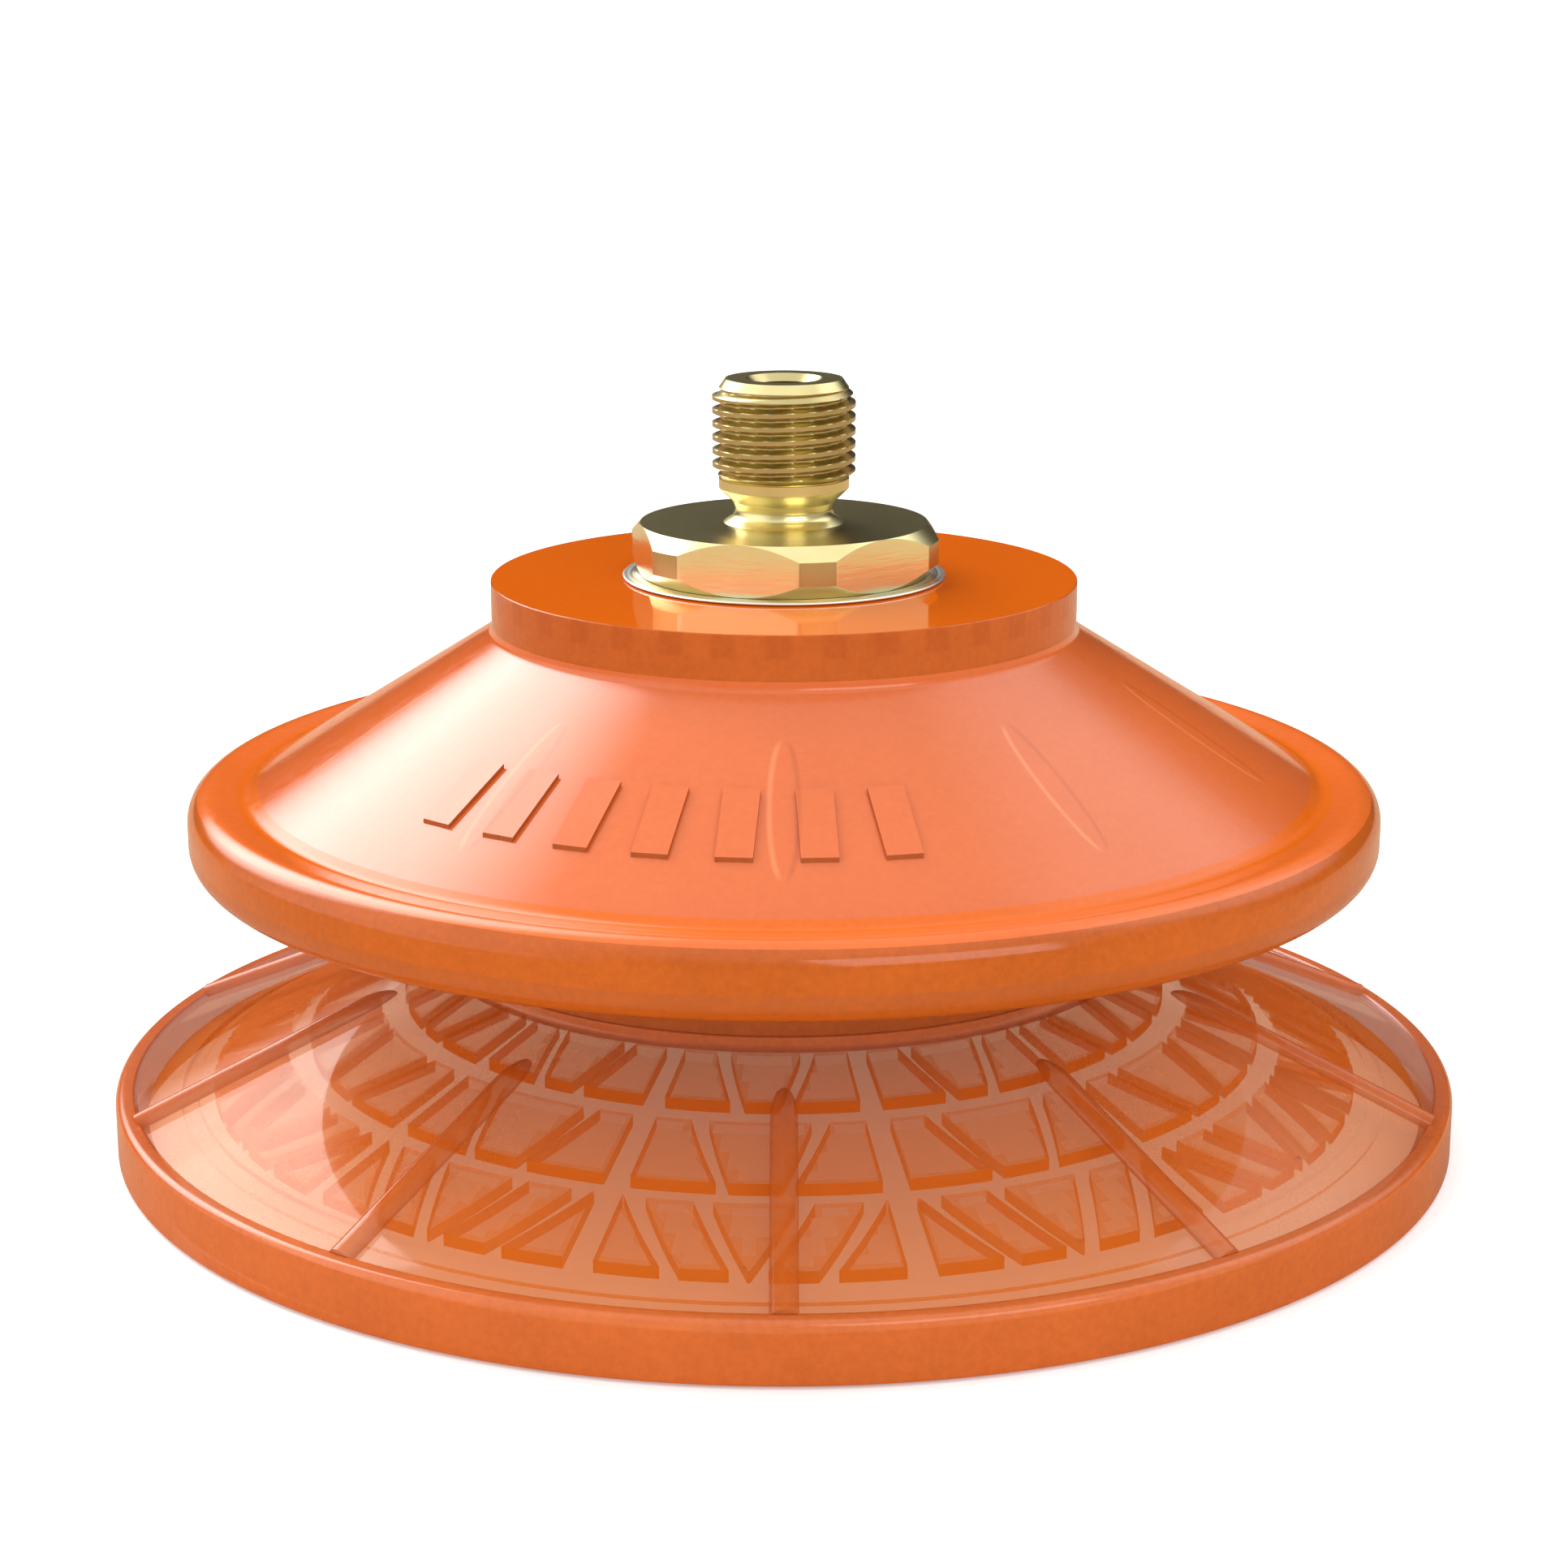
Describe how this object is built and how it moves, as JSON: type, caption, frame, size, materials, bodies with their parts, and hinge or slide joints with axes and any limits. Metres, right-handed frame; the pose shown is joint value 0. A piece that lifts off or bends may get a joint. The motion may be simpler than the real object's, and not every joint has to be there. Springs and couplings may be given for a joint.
{
  "type": "vacuum suction cup",
  "caption": "Round bellows suction cup with a flat cleated lip, held on a hexagonal brass fitting with a male thread and a female port.",
  "frame": {"origin": "centre of the lip's bottom plane, on the cup's axis", "axes": "+Z along the axis, from the lip to the fitting's free end; -Y towards the side shown in front"},
  "size_m": [0.0932, 0.0932, 0.052],
  "materials": {
    "brass": "turned and brushed, satin",
    "steel": "satin",
    "gauze": "perforated",
    "seal_rubber": "matte",
    "firm_polyurethane": "translucent, glossy",
    "soft_polyurethane": "translucent, glossy, softer than the bellows"
  },
  "bodies": {
    "head": {"threaded_fitting": "brass", "flange_washer": "steel", "collar_seal": "seal_rubber", "clamp_insert": "steel", "clamp_washer": "steel", "clamp_nut": "brass", "filter_screen": "gauze", "filter_ring": "steel", "collar": "firm_polyurethane"},
    "convolution": {"upper_bellows_wall": "firm_polyurethane", "bellows_convolution": "firm_polyurethane"},
    "lower_wall": {"lower_bellows_wall": "firm_polyurethane"},
    "neck": {"bellows_neck": "firm_polyurethane", "lip_dish": "soft_polyurethane", "lip_rib_01": "soft_polyurethane", "lip_rib_02": "soft_polyurethane", "lip_rib_03": "soft_polyurethane", "lip_rib_04": "soft_polyurethane", "lip_rib_05": "soft_polyurethane", "lip_rib_06": "soft_polyurethane", "lip_rib_07": "soft_polyurethane", "lip_rib_08": "soft_polyurethane", "lip_rib_09": "soft_polyurethane", "lip_rib_10": "soft_polyurethane"},
    "rim": {"lip_rim": "soft_polyurethane"}
  },
  "joints": [
    {"name": "bellows_fold", "type": "slide", "parent": "head", "child": "convolution", "axis": [0, 0, 1], "range_m": [0, 0.008], "stiffness_N_per_m": 900, "springref_m": -0.002, "deforming": ["upper_bellows_wall"]},
    {"name": "lip_tilt_x", "type": "hinge", "parent": "convolution", "child": "lower_wall", "pos_m": [0, 0, 0.0175], "axis": [1, 0, 0], "range_deg": [-5, 5], "stiffness_Nm_per_rad": 0.8, "deforming": ["lower_bellows_wall"]},
    {"name": "lip_tilt_y", "type": "hinge", "parent": "lower_wall", "child": "neck", "pos_m": [0, 0, 0.0145], "axis": [0, 1, 0], "range_deg": [-5, 5], "stiffness_Nm_per_rad": 0.8, "deforming": ["bellows_neck"]},
    {"name": "lip_flatten", "type": "slide", "parent": "neck", "child": "rim", "axis": [0, 0, 1], "range_m": [0, 0.0055], "stiffness_N_per_m": 1200, "springref_m": -0.002, "deforming": ["lip_dish", "lip_rib_01", "lip_rib_02", "lip_rib_03", "lip_rib_04", "lip_rib_05", "lip_rib_06", "lip_rib_07", "lip_rib_08", "lip_rib_09", "lip_rib_10"]}
  ]
}
